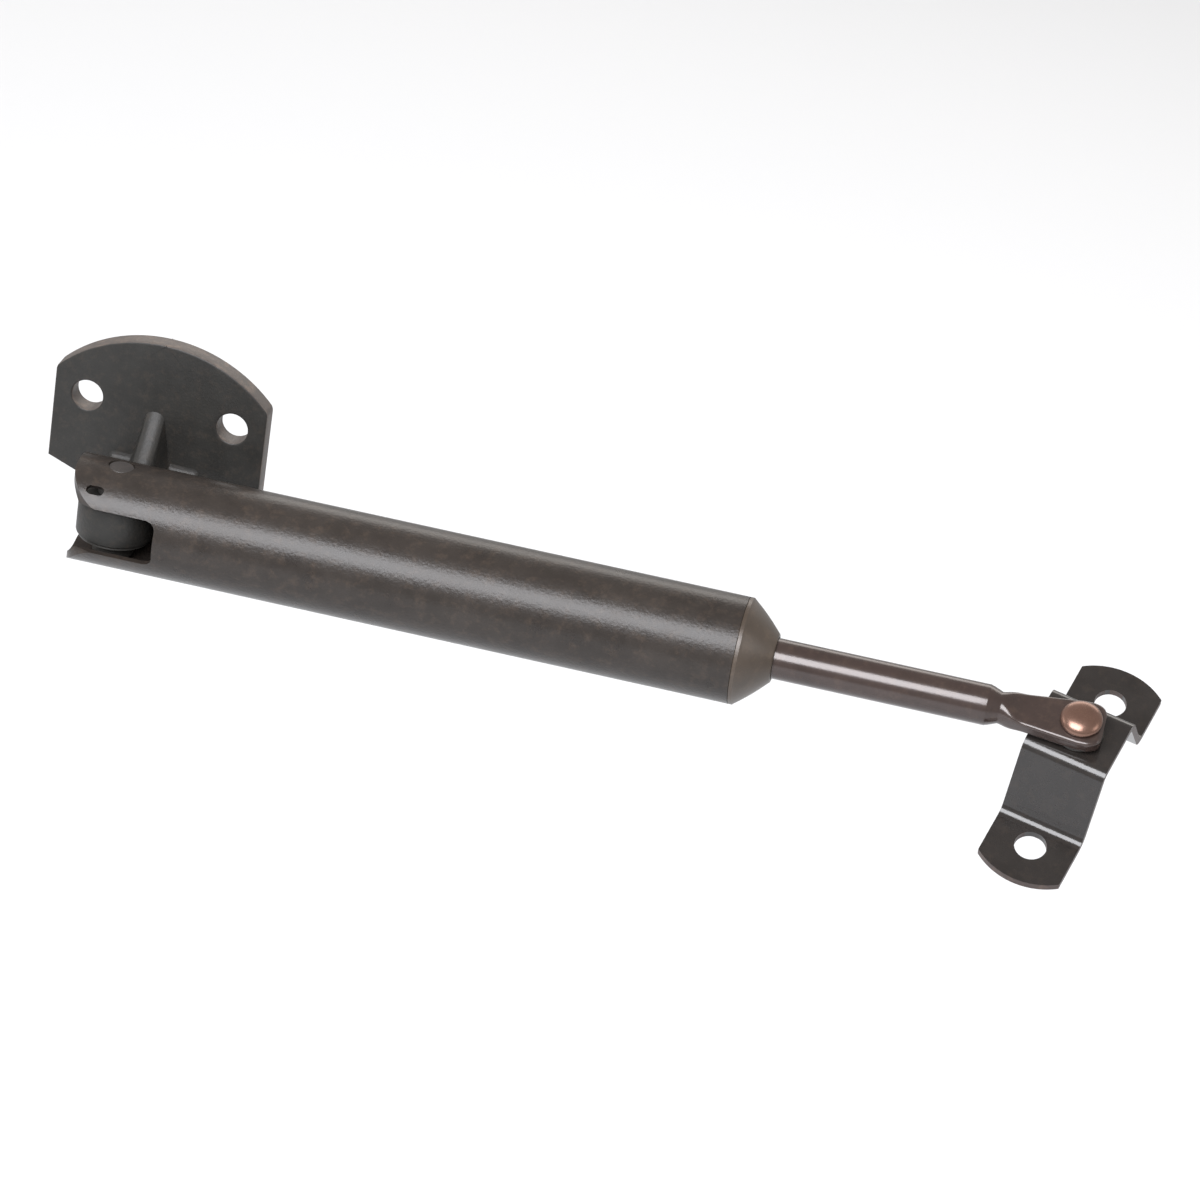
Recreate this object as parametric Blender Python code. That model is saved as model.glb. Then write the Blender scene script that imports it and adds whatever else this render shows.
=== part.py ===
"""Tubular spring-and-oil closer for a door or gate.

The frame is the wall bracket's: the origin lies on the back face of the plate, midway between its two
screw holes, +X runs along the wall, +Y into the wall and +Z up, along the pivot pin. Units are metres.
"""
import math

import bmesh
import bpy
from mathutils import Matrix, Vector

# --- driving dimensions ---------------------------------------------------------------------------
RUN_GAP = 0.0003            # between two pieces that touch or run on each other

# wall bracket
PLATE_THICK = 0.00635
PLATE_HALF_W = 0.0347
PLATE_HOLE_R = 0.0050
PLATE_HOLE_X = 0.0238       # each hole from the plate's middle
HOLE_ABOVE_PIN_MID = 0.0225  # hole line above the middle of the knuckle
PIN_OUT = 0.0300            # pin axis in front of the plate's front face
PIN_SIDE = -0.0018          # pin axis beside the plate's middle
BOSS_R = 0.0122
BOSS_HALF = 0.0062

# barrel
TUBE_R = 0.0167
TUBE_WALL = 0.0021
EAR_END = 0.0132            # ears beyond the pin axis
TUBE_END = 0.1980           # nose end of the tube from the pin axis
SLOT_HALF = 0.0075
SLOT_END = 0.0160
PIN_R = 0.00397
PIN_HALF = 0.0162
SPIGOT_LENGTH = 0.0120      # of the nose cap inside the tube
CONE_END = 0.2092

# rod and saddle
ROD_R = 0.00635
ROD_SHOULDER = 0.2756       # start of the rod's chamfer
TONGUE_END = 0.3112
STUD_START = 0.1612         # inner end of the rod
PISTON_LENGTH = 0.0134
TONGUE_HALF_T = 0.0024
RIVET_X = 0.3040
RIVET_HOLE_R = 0.0035
STRAP_THICK = 0.0024
STRAP_HALF_W = 0.0135
STRAP_HALF_L = 0.0433
STRAP_HEIGHT = 0.0225       # crest top above the lobes' top
STRAP_HOLE_Y = 0.0300
STRAP_HOLE_R = 0.0050
PAST_LOBE = 0.0020          # length left on the strap before its ends are cut to shape

# rest pose
BARREL_TURN = math.radians(2.0)     # barrel turned towards the wall
ROD_TWIST = math.radians(27.0)      # rod turned about its own axis
SADDLE_TURN = math.radians(-13.5)   # saddle turned about its rivet

# --- values worked out from them ------------------------------------------------------------------
PIN_Y = -(PLATE_THICK + PIN_OUT)
PIN_Z = -HOLE_ABOVE_PIN_MID
BORE_R = TUBE_R - TUBE_WALL
PISTON_STOP = TUBE_END - SPIGOT_LENGTH      # inner face of the nose cap
PISTON_START = PISTON_STOP - RUN_GAP - PISTON_LENGTH
PLUG_START = 0.0220
PLUG_LENGTH = 0.0120
FIT_R = BORE_R - RUN_GAP            # radius of what sits in the tube's bore
RIVET_WASHER_ROOM = 0.0013
CREST_TOP = -(TONGUE_HALF_T + RIVET_WASHER_ROOM)


# --- modelling helpers ----------------------------------------------------------------------------
def material(name, colour, roughness, metallic):
    """A Principled material of one colour."""
    mat = bpy.data.materials.new(name)
    mat.use_nodes = True
    shader = mat.node_tree.nodes["Principled BSDF"]
    shader.inputs["Base Color"].default_value = (*colour, 1.0)
    shader.inputs["Roughness"].default_value = roughness
    shader.inputs["Metallic"].default_value = metallic
    return mat


def finish(bm, name, mat, parent):
    """Turns a bmesh into an object with its faces out, smooth where it is round."""
    bmesh.ops.recalc_face_normals(bm, faces=bm.faces)
    mesh = bpy.data.meshes.new(name)
    bm.to_mesh(mesh)
    bm.free()
    mesh.shade_smooth()
    mesh.set_sharp_from_angle(angle=math.radians(35))
    obj = bpy.data.objects.new(name, mesh)
    bpy.context.scene.collection.objects.link(obj)
    obj.parent = parent
    if mat is not None:
        mesh.materials.append(mat)
    return obj


def empty(name, parent, location, turn, axis):
    """An axis that moving pieces hang from, turned by an angle about X, Y or Z."""
    obj = bpy.data.objects.new(name, None)
    bpy.context.scene.collection.objects.link(obj)
    obj.parent = parent
    obj.matrix_local = Matrix.Translation(location) @ Matrix.Rotation(turn, 4, axis)
    return obj


def arc(centre, radius, start, end, steps):
    """Points on an arc, its angles in degrees."""
    angles = [math.radians(start + (end - start) * i / steps) for i in range(steps + 1)]
    return [(centre[0] + radius * math.cos(a), centre[1] + radius * math.sin(a)) for a in angles]


def turned(name, profile, mat, parent, steps=32, upright=False):
    """A turned piece: (x, r) points spun about the X axis, or about Z if it stands upright."""
    bm = bmesh.new()
    verts = [bm.verts.new((x, r, 0.0)) for x, r in profile]
    edges = [bm.edges.new(pair) for pair in zip(verts, verts[1:])]
    if profile[0][1] > 0.0:
        edges.append(bm.edges.new((verts[-1], verts[0])))
    bmesh.ops.spin(bm, geom=verts + edges, cent=(0, 0, 0), axis=(1, 0, 0), angle=math.tau,
                   steps=steps, use_merge=True)
    bmesh.ops.remove_doubles(bm, verts=bm.verts, dist=1e-7)
    if upright:
        bmesh.ops.transform(bm, matrix=Matrix.Rotation(-math.pi / 2, 4, "Y"), verts=bm.verts)
    return finish(bm, name, mat, parent)


def ring(name, start, end, inner, outer, mat, parent, steps=32, upright=False):
    """A plain turned ring."""
    profile = [(start, inner), (start, outer), (end, outer), (end, inner)]
    return turned(name, profile, mat, parent, steps, upright)


def round_ring(name, middle, centre_r, wire_r, mat, parent):
    """An O-ring: a small circle spun about the X axis."""
    return turned(name, arc((middle, centre_r), wire_r, 0, 300, 5), mat, parent, 28)


def prism(name, outline, low, high, plane, mat, parent, bevel=0.0, segments=1):
    """An outline extruded across its plane: "xy" along Z, "xz" along Y, "yz" along X."""
    place = {"xy": lambda a, b: (a, b, low), "xz": lambda a, b: (a, low, b),
             "yz": lambda a, b: (low, a, b)}[plane]
    shift = {"xy": (0, 0, high - low), "xz": (0, high - low, 0), "yz": (high - low, 0, 0)}[plane]
    bm = bmesh.new()
    face = bm.faces.new([bm.verts.new(place(a, b)) for a, b in outline])
    top = bmesh.ops.extrude_face_region(bm, geom=[face])["geom"]
    bmesh.ops.translate(bm, vec=shift, verts=[v for v in top if isinstance(v, bmesh.types.BMVert)])
    obj = finish(bm, name, mat, parent)
    if bevel:
        edge = obj.modifiers.new("edge", "BEVEL")
        edge.width = bevel
        edge.segments = segments
        edge.limit_method = "ANGLE"
        edge.angle_limit = math.radians(40)
    return obj


def loft(name, rings, mat, parent):
    """A closed skin through rings of equally many points, capped at both ends."""
    bm = bmesh.new()
    rows = [[bm.verts.new(p) for p in points] for points in rings]
    for row, following in zip(rows, rows[1:]):
        for i in range(len(row)):
            j = (i + 1) % len(row)
            bm.faces.new((row[i], row[j], following[j], following[i]))
    bm.faces.new(rows[0])
    bm.faces.new(rows[-1])
    return finish(bm, name, mat, parent)


def combine(obj, tool, operation):
    """Joins, cuts or trims a piece with a tool that is itself left out of the part."""
    tool.hide_render = True
    tool.display_type = "WIRE"
    step = obj.modifiers.new(tool.name, "BOOLEAN")
    step.operation = operation
    step.solver = "EXACT"
    step.object = tool


def drill(obj, name, x, y, low, high, radius, parent, steps=20):
    """An upright round hole."""
    combine(obj, prism(name, arc((x, y), radius, 0, 360 - 360 / steps, steps - 1), low, high, "xy",
                       None, parent), "DIFFERENCE")


# --- wall bracket ---------------------------------------------------------------------------------
def make_bracket(steel):
    """D-shaped plate, tongue, rib and root fillets in one forging, in front of the wall."""
    pin_x = PIN_SIDE
    front = -PLATE_THICK
    shoulder = PIN_Z - 0.0009           # lower end of the plate's straight sides
    foot = (0.0170, PIN_Z - 0.0075)     # end of the sloping shoulders
    apex = PIN_Z + 0.0454
    corner = PIN_Z + 0.0303             # where crown and side would meet without their fillet
    rise = apex - corner
    big_r = (PLATE_HALF_W ** 2 + rise ** 2) / (2 * rise)
    small_r = 0.0030
    big_z = apex - big_r
    small_z = big_z + math.sqrt((big_r - small_r) ** 2 - (PLATE_HALF_W - small_r) ** 2)
    meet = math.degrees(math.atan2(small_z - big_z, PLATE_HALF_W - small_r))
    right = [foot, (PLATE_HALF_W, shoulder)]
    right += arc((PLATE_HALF_W - small_r, small_z), small_r, 0, meet, 4)
    crown = arc((0.0, big_z), big_r, meet, 180 - meet, 28)[1:-1]
    left = [(-x, z) for x, z in reversed(right)]
    plate = prism("mounting_bracket", right + crown + left, 0.0, front, "xz", steel, None, 0.0005)

    half_t = PLATE_THICK / 2
    buried = front + 0.0030             # ends of tongue, root and rib inside the plate
    root_half = 0.0150
    neck_half = 0.0108
    taper_start, taper_end = PIN_Y + 0.0260, PIN_Y + 0.0185
    tip = PIN_Y + 0.0060                # inside the knuckle's seat
    top, bottom = PIN_Z + half_t, PIN_Z - half_t
    tongue_plan = [(root_half, buried), (root_half, taper_start),
                   (pin_x + neck_half, taper_end), (pin_x + neck_half, tip),
                   (pin_x - neck_half, tip), (pin_x - neck_half, taper_end),
                   (-root_half, taper_start), (-root_half, buried)]
    tongue = prism("bracket_tongue", tongue_plan, bottom, top, "xy", None, None)
    upper_r, lower_r = 0.0026, 0.0026
    root_side = arc((front - upper_r, top + upper_r), upper_r, 0, -90, 5)
    root_side += arc((front - lower_r, bottom - lower_r), lower_r, 90, 0, 4)
    root_side += [(buried, bottom - lower_r), (buried, top + upper_r)]
    inset = 0.0002                      # keeps the root's ends off the tongue's sides
    root = prism("bracket_root", root_side, inset - root_half, root_half - inset, "yz", None, None)
    rib_x, rib_half, rib_bevel = -0.0012, 0.0033, 0.0018
    rib_tip = PIN_Y + 0.0175
    rib_back = buried + 0.0010
    rib_side = [(rib_back, PIN_Z + 0.0262), (front - 0.0035, PIN_Z + 0.0186), (rib_tip, top - inset),
                (rib_tip, bottom + 0.0010), (rib_back, bottom + 0.0010)]
    rib = prism("bracket_rib", rib_side, rib_x - rib_half, rib_x + rib_half, "yz", None, None, rib_bevel, 3)
    for piece in (tongue, root, rib):
        combine(plate, piece, "UNION")
    past = 0.0020
    for side in (-1, 1):
        hole = prism("plate_hole", arc((side * PLATE_HOLE_X, 0.0), PLATE_HOLE_R, 0, 345, 23),
                     past, front - past, "xz", None, None)
        combine(plate, hole, "DIFFERENCE")
    drill(plate, "knuckle_seat", pin_x, PIN_Y, bottom - past, top + past, BOSS_R + RUN_GAP, None, 32)


def make_knuckle(axis, steel, bronze, washer_steel, spacer_steel):
    """Round eye at the tongue's end, its bush, and the washers and spacers on the pin."""
    running_r = PIN_R + RUN_GAP
    bush_r, washer_r, spacer_r = 0.0052, 0.0114, 0.0065
    ring("knuckle_boss", -BOSS_HALF, BOSS_HALF, bush_r + RUN_GAP, BOSS_R, steel, axis, 32, True)
    ring("knuckle_bush", -BOSS_HALF, BOSS_HALF, running_r, bush_r, bronze, axis, 24, True)
    washer = (BOSS_HALF + RUN_GAP, BOSS_HALF + 0.0009)
    spacer = (washer[1] + RUN_GAP, 0.0127)
    for side, word in ((1, "upper"), (-1, "lower")):
        low, high = sorted((side * washer[0], side * washer[1]))
        ring(f"thrust_washer_{word}", low, high, running_r, washer_r, washer_steel, axis, 28, True)
        low, high = sorted((side * spacer[0], side * spacer[1]))
        ring(f"pin_spacer_{word}", low, high, running_r, spacer_r, spacer_steel, axis, 24, True)


# --- barrel ---------------------------------------------------------------------------------------
def make_barrel(axis, steel):
    """Tube with one end slotted into two rounded ears."""
    edge = 0.0003
    tube = turned("barrel_tube", [(-EAR_END, BORE_R), (-EAR_END, TUBE_R), (TUBE_END - edge, TUBE_R),
                                  (TUBE_END, TUBE_R - edge), (TUBE_END, BORE_R)], steel, axis, 48)
    corner = 0.0030
    out = 0.0300                        # past the tube on every side
    slot = [(-out, -SLOT_HALF)]
    slot += arc((SLOT_END - corner, corner - SLOT_HALF), corner, -90, 0, 3)
    slot += arc((SLOT_END - corner, SLOT_HALF - corner), corner, 0, 90, 3) + [(-out, SLOT_HALF)]
    combine(tube, prism("slot", slot, -out, out, "xz", None, axis), "DIFFERENCE")
    ear_r, straight = 0.0110, 0.0040
    for side in (-1, 1):
        bow = [(x, side * y) for x, y in arc((ear_r - EAR_END, straight), ear_r, 180, 90, 7)]
        bow += [(ear_r - EAR_END, side * out), (-out, side * out), (-out, side * straight)]
        combine(tube, prism("ear_corner", bow, -out, out, "xy", None, axis), "DIFFERENCE")
    drill(tube, "pin_hole", 0.0, 0.0, -out, out, PIN_R + RUN_GAP, axis, 24)
    port_x, port_turn, port_r, port_half = -0.0048, math.radians(43.0), 0.0015, 0.0013
    port = arc((port_x + port_half, 0.0), port_r, -90, 90, 4)
    port += arc((port_x - port_half, 0.0), port_r, 90, 270, 4)
    tool = prism("oil_port", port, BORE_R - 0.0025, out, "xy", None, axis)
    tool.matrix_local = Matrix.Rotation(port_turn, 4, "X")
    combine(tube, tool, "DIFFERENCE")


def make_pin(axis, steel):
    """Pivot pin through both ears, its flat ends level with the tube's crown."""
    edge = 0.0004
    turned("pivot_pin", [(-PIN_HALF, 0.0), (-PIN_HALF, PIN_R - edge), (edge - PIN_HALF, PIN_R),
                         (PIN_HALF - edge, PIN_R), (PIN_HALF, PIN_R - edge), (PIN_HALF, 0.0)],
           steel, axis, 24, True)


def make_rear_plug(axis, steel, rubber):
    """Plug that closes the oil chamber behind the slot, with its O-ring."""
    end, edge = PLUG_START + PLUG_LENGTH, 0.0008
    guide_end, guide_r, guide_tip_r = end + 0.0040, 0.0088, 0.0080
    groove, groove_w, groove_r, cord_r = PLUG_START + 0.0048, 0.0026, FIT_R - 0.0021, 0.0009
    turned("rear_plug", [(PLUG_START, 0.0), (PLUG_START, FIT_R - edge), (PLUG_START + edge, FIT_R),
                         (groove, FIT_R), (groove, groove_r), (groove + groove_w, groove_r),
                         (groove + groove_w, FIT_R), (end, FIT_R), (end, guide_r), (guide_end, guide_tip_r),
                         (guide_end, 0.0)], steel, axis)
    round_ring("rear_o_ring", groove + groove_w / 2, FIT_R - cord_r, cord_r, rubber, axis)


def make_nose(axis, cap_steel, bronze, washer_steel, rubber):
    """Cone that closes the tube round the rod, with bush, seal, seal washer and O-ring in its spigot."""
    start = PISTON_STOP
    flange = TUBE_END + RUN_GAP
    land = flange + 0.0009              # plain band before the cone
    lip_r, seat_r, mouth_r = 0.0075, 0.0095, ROD_R + 0.00035
    bush_end, washer_end, seal_end = start + 0.0116, start + 0.0132, start + 0.0172
    seat_end = seal_end + RUN_GAP
    groove, groove_w, groove_r, cord_r = start + 0.0050, 0.0024, FIT_R - 0.0020, 0.00085
    bulge, steps = 0.0004, 4
    cone = []
    for i in range(1, steps + 1):
        t = i / steps
        cone.append((land + (CONE_END - land) * t,
                     TUBE_R + (lip_r - TUBE_R) * t + bulge * math.sin(math.pi * t)))
    turned("nose_cap", [(start, seat_r), (start, FIT_R),
                        (groove, FIT_R), (groove, groove_r), (groove + groove_w, groove_r),
                        (groove + groove_w, FIT_R), (flange, FIT_R), (flange, TUBE_R), (land, TUBE_R)] + cone
           + [(CONE_END, mouth_r), (seat_end, mouth_r), (seat_end, seat_r)], cap_steel, axis, 40)
    round_ring("nose_o_ring", groove + groove_w / 2, FIT_R - cord_r, cord_r, rubber, axis)
    sleeve_r = seat_r - RUN_GAP
    ring("rod_bush", start + 0.0010, bush_end, ROD_R + RUN_GAP, sleeve_r, bronze, axis)
    ring("seal_washer", bush_end + RUN_GAP, washer_end, mouth_r, sleeve_r, washer_steel, axis)
    lip, lip_depth, lip_wall = washer_end + RUN_GAP, 0.0018, 0.0007
    inner = ROD_R + RUN_GAP
    turned("rod_seal", [(seal_end, inner), (seal_end, sleeve_r), (lip, sleeve_r), (lip, sleeve_r - lip_wall),
                        (lip + lip_depth, sleeve_r - 2 * lip_wall), (lip, inner + lip_wall), (lip, inner)],
           rubber, axis)


def make_spring(axis, wire_steel):
    """Return spring between the rear plug and its seat on the piston, its end turns closed."""
    start, end = PLUG_START + PLUG_LENGTH + 0.0005, PISTON_START - 0.0038
    wire_r, coil_r = 0.0013, 0.0116
    turns, per_turn, sides = 13, 10, 5
    dead, closed_pitch = 1.0, 2.25 * wire_r     # closed turns at each end
    live_length = end - start - 2 * wire_r - 2 * dead * closed_pitch
    rings = []
    for i in range(turns * per_turn + 1):
        n = i / per_turn
        live = min(max(n - dead, 0.0), turns - 2 * dead) / (turns - 2 * dead)
        closed = min(n, dead) + max(n - (turns - dead), 0.0)
        x = start + wire_r + live * live_length + closed * closed_pitch
        angle = math.tau * n
        section = []
        for side in range(sides):
            turn = math.tau * side / sides
            r = coil_r + wire_r * math.cos(turn)
            section.append((x + wire_r * math.sin(turn), r * math.cos(angle), r * math.sin(angle)))
        rings.append(section)
    loft("return_spring", rings, wire_steel, axis)


# --- rod, piston and saddle -----------------------------------------------------------------------
def rod_ring(x, half_w, half_t, square, points=24):
    """One cross-section of the rod: a circle that squares up as its exponent grows."""
    section = []
    for i in range(points):
        c, s = math.cos(math.tau * i / points), math.sin(math.tau * i / points)
        section.append((x, half_w * math.copysign(abs(c) ** (2 / square), c),
                        half_t * math.copysign(abs(s) ** (2 / square), s)))
    return section


def make_rod(axis, bronzed):
    """Rod with a stepped inner end, a chamfered shoulder and a flattened tongue that flares outwards."""
    stud_r = 0.0040
    neck_x, neck_r = ROD_SHOULDER + 0.0036, 0.0049
    rings = [rod_ring(STUD_START, stud_r, stud_r, 2), rod_ring(PISTON_STOP, stud_r, stud_r, 2),
             rod_ring(PISTON_STOP, ROD_R, ROD_R, 2),
             rod_ring(ROD_SHOULDER, ROD_R, ROD_R, 2), rod_ring(neck_x, neck_r, neck_r, 2)]
    flat_x = neck_x + 0.0085            # where the tongue has its full flatness
    tongue_half, squareness = 0.0082, 5
    end_r, end_tuck, tip_ease = 0.0050, 0.75, 0.0006
    steps = 5
    for i in range(1, steps + 1):
        t = i / steps
        ease = t * t * (3 - 2 * t)
        x = neck_x + (flat_x - neck_x) * t
        half_w = neck_r + (tongue_half - neck_r) * (x - neck_x) / (RIVET_X - neck_x)
        rings.append(rod_ring(x, half_w, neck_r + (TONGUE_HALF_T - neck_r) * ease,
                              2 + (squareness - 2) * ease))
    rings.append(rod_ring(RIVET_X, tongue_half, TONGUE_HALF_T, squareness))
    end_start = TONGUE_END - end_r
    for i in range(steps + 1):
        a = math.pi / 2 * min(i / steps, 0.985)
        half_w = tongue_half - end_r * (1 - math.cos(a)) * end_tuck
        half_t = TONGUE_HALF_T - tip_ease * max(5 * math.sin(a) - 4, 0.0)
        rings.append(rod_ring(end_start + end_r * math.sin(a), half_w, half_t, squareness))
    rod = loft("piston_rod", rings, bronzed, axis)
    drill(rod, "rivet_hole", RIVET_X, 0.0, -ROD_R, ROD_R, RIVET_HOLE_R, axis)


def make_piston(axis, iron, plastic, washer_steel, nut_steel):
    """Piston with ports, its ring, the valve disc over the ports, washer and nut."""
    start, end = PISTON_START, PISTON_STOP - RUN_GAP
    piston_r, groove_r = BORE_R - 0.0004, BORE_R - 0.0024
    groove, groove_w = start + 0.0050, 0.0034
    stud_clear = 0.0043
    piston = turned("piston", [(start, stud_clear), (start, piston_r), (groove, piston_r), (groove, groove_r),
                               (groove + groove_w, groove_r), (groove + groove_w, piston_r),
                               (end, piston_r), (end, stud_clear)], iron, axis)
    ports, port_r, port_circle, past = 6, 0.0012, 0.0072, 0.0020
    for i in range(ports):
        angle = math.tau * (i + 0.085) / ports
        centre = (port_circle * math.cos(angle), port_circle * math.sin(angle))
        tool = prism("port", arc(centre, port_r, 0, 315, 7), start - past, end + past, "yz", None, axis)
        combine(piston, tool, "DIFFERENCE")
    ring("piston_ring", groove + RUN_GAP, groove + groove_w - RUN_GAP, groove_r + RUN_GAP,
         BORE_R - 0.0003, plastic, axis)
    disc_end = start - RUN_GAP
    disc_start, disc_r = disc_end - 0.0012, 0.0095
    ring("valve_disc", disc_start, disc_end, stud_clear, disc_r, washer_steel, axis, 24)
    washer_end = disc_start - RUN_GAP
    washer_start, washer_r = washer_end - 0.0015, 0.0084
    ring("piston_washer", washer_start, washer_end, stud_clear, washer_r, washer_steel, axis, 24)
    nut_end = washer_start - RUN_GAP
    nut_start, nut_corner_r = nut_end - 0.0055, 0.0075
    nut = prism("rod_nut", arc((0.0, 0.0), nut_corner_r, 0, 300, 5), nut_start, nut_end, "yz", nut_steel,
                axis, 0.0003)
    combine(nut, prism("nut_bore", arc((0.0, 0.0), stud_clear, 0, 345, 23), nut_start - past, nut_end + past,
                       "yz", None, axis), "DIFFERENCE")


def make_spring_seat(axis, washer_steel):
    """Washer between the return spring and the piston, on which the piston turns."""
    end = PISTON_START - RUN_GAP
    ring("spring_seat", end - 0.0030, end, 0.0099, FIT_R - 0.0004, washer_steel, axis)


def make_rivet(axis, copper, washer_steel):
    """Rivet with a domed head on the tongue and a flat tail in the saddle, and the washer on it."""
    shank_r, head_r, head_h = 0.003175, 0.0065, 0.0036
    seat = TONGUE_HALF_T + RUN_GAP
    tail_top = CREST_TOP - STRAP_THICK - RUN_GAP
    tail_r, tail_h, tail_edge = 0.0052, 0.0014, 0.0006
    rim, under = 0.0005, 0.0002         # height of the head's rim, and its undercut
    dome = [(seat + rim + (head_h - rim) * math.sin(a), head_r * math.cos(a))
            for a in (math.pi / 2 * i / 6 for i in range(6))]
    turned("saddle_rivet", [(tail_top - tail_h, 0.0), (tail_top - tail_h, tail_r - tail_edge),
                            (tail_top - tail_h + tail_edge, tail_r), (tail_top, tail_r), (tail_top, shank_r),
                            (seat, shank_r), (seat, head_r - under)] + dome + [(seat + head_h, 0.0)],
           copper, axis, 28, True)
    washer_r = 0.0075
    ring("rivet_washer", CREST_TOP + RUN_GAP, -TONGUE_HALF_T - RUN_GAP, RIVET_HOLE_R, washer_r,
         washer_steel, axis, 24, True)


def strap_path(radius_crest, radius_foot, steps):
    """Middle line of half the hat-shaped strap, from the crest's middle to a lobe's end, as (y, z)."""
    mid = CREST_TOP - STRAP_THICK / 2
    low = mid - STRAP_HEIGHT
    crest_y, foot_y = 0.0105, 0.0213    # where the straights would meet
    slope = math.atan2(STRAP_HEIGHT, foot_y - crest_y)
    cut_crest = radius_crest * math.tan(slope / 2)
    cut_foot = radius_foot * math.tan(slope / 2)
    turn = math.degrees(slope)
    path = [(0.0, mid)]
    path += arc((crest_y - cut_crest, mid - radius_crest), radius_crest, 90, 90 - turn, steps)
    path += arc((foot_y + cut_foot, low + radius_foot), radius_foot, 270 - turn, 270, steps)
    return path + [(STRAP_HALF_L + PAST_LOBE, low)]


def make_saddle(axis, black):
    """Hat-shaped strap over a gate pipe: flat crest, two ramps, two holed lobes with bowed ends."""
    half = strap_path(0.0034, 0.0050, 5)
    path = [Vector((-y, z)) for y, z in reversed(half[1:])] + [Vector((y, z)) for y, z in half]
    upper, lower = [], []
    for i, point in enumerate(path):
        along = (path[min(i + 1, len(path) - 1)] - path[max(i - 1, 0)]).normalized()
        across = Vector((-along.y, along.x)) * (STRAP_THICK / 2)
        upper.append(tuple(point + across))
        lower.append(tuple(point - across))
    strap = prism("saddle_strap", upper + lower[::-1], -STRAP_HALF_W, STRAP_HALF_W, "yz", black, axis)
    end_r = 0.0220
    reach = math.degrees(math.asin((STRAP_HALF_W + PAST_LOBE) / end_r))
    plan = arc((0.0, STRAP_HALF_L - end_r), end_r, 90 - reach, 90 + reach, 10)
    plan += arc((0.0, end_r - STRAP_HALF_L), end_r, 270 - reach, 270 + reach, 10)
    deep, high = CREST_TOP - 2 * STRAP_HEIGHT, STRAP_HEIGHT
    combine(strap, prism("lobe_ends", plan, deep, high, "xy", None, axis), "INTERSECT")
    for side in (-1, 1):
        drill(strap, "lobe_hole", 0.0, side * STRAP_HOLE_Y, deep, high, STRAP_HOLE_R, axis, 24)
    drill(strap, "crest_hole", 0.0, 0.0, deep, high, RIVET_HOLE_R, axis)


# --- assembly -------------------------------------------------------------------------------------
def build():
    for old in list(bpy.data.objects):
        bpy.data.objects.remove(old, do_unlink=True)

    black_plate = material("black_oxide_plate", (0.052, 0.049, 0.045), 0.55, 0.6)
    black_tube = material("black_phosphate_tube", (0.070, 0.065, 0.060), 0.42, 0.7)
    cap_steel = material("browned_cap", (0.115, 0.095, 0.070), 0.45, 0.7)
    bronzed = material("bronzed_rod", (0.150, 0.090, 0.070), 0.25, 0.9)
    copper = material("copper_rivet", (0.420, 0.200, 0.110), 0.28, 0.9)
    gloss_black = material("gloss_black_strap", (0.045, 0.040, 0.040), 0.22, 0.5)
    bare_steel = material("bare_steel", (0.450, 0.440, 0.420), 0.35, 1.0)
    spring_steel = material("spring_steel", (0.200, 0.190, 0.180), 0.35, 1.0)
    bronze = material("bush_bronze", (0.550, 0.380, 0.180), 0.35, 1.0)
    rubber = material("seal_rubber", (0.020, 0.020, 0.020), 0.75, 0.0)
    plastic = material("piston_ring_plastic", (0.600, 0.550, 0.430), 0.50, 0.0)

    pin_axis = empty("pin_axis", None, (PIN_SIDE, PIN_Y, PIN_Z), 0.0, "Z")
    barrel_axis = empty("barrel_axis", pin_axis, (0, 0, 0), BARREL_TURN, "Z")
    rod_axis = empty("rod_axis", barrel_axis, (0, 0, 0), ROD_TWIST, "X")
    rivet_axis = empty("rivet_axis", rod_axis, (RIVET_X, 0, 0), 0.0, "Z")
    saddle_axis = empty("saddle_axis", rivet_axis, (0, 0, 0), SADDLE_TURN, "Z")

    make_bracket(black_plate)
    make_knuckle(pin_axis, black_plate, bronze, bare_steel, bare_steel)
    make_barrel(barrel_axis, black_tube)
    make_pin(barrel_axis, black_tube)
    make_rear_plug(barrel_axis, black_plate, rubber)
    make_nose(barrel_axis, cap_steel, bronze, bare_steel, rubber)
    make_spring(barrel_axis, spring_steel)
    make_spring_seat(barrel_axis, bare_steel)
    make_rod(rod_axis, bronzed)
    make_piston(rod_axis, bare_steel, plastic, bare_steel, bare_steel)
    make_rivet(rivet_axis, copper, bare_steel)
    make_saddle(saddle_axis, gloss_black)
    bpy.context.view_layer.update()


build()
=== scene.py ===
import math

import bmesh
import bpy
import numpy as np
from mathutils import Euler, Matrix, Vector


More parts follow.
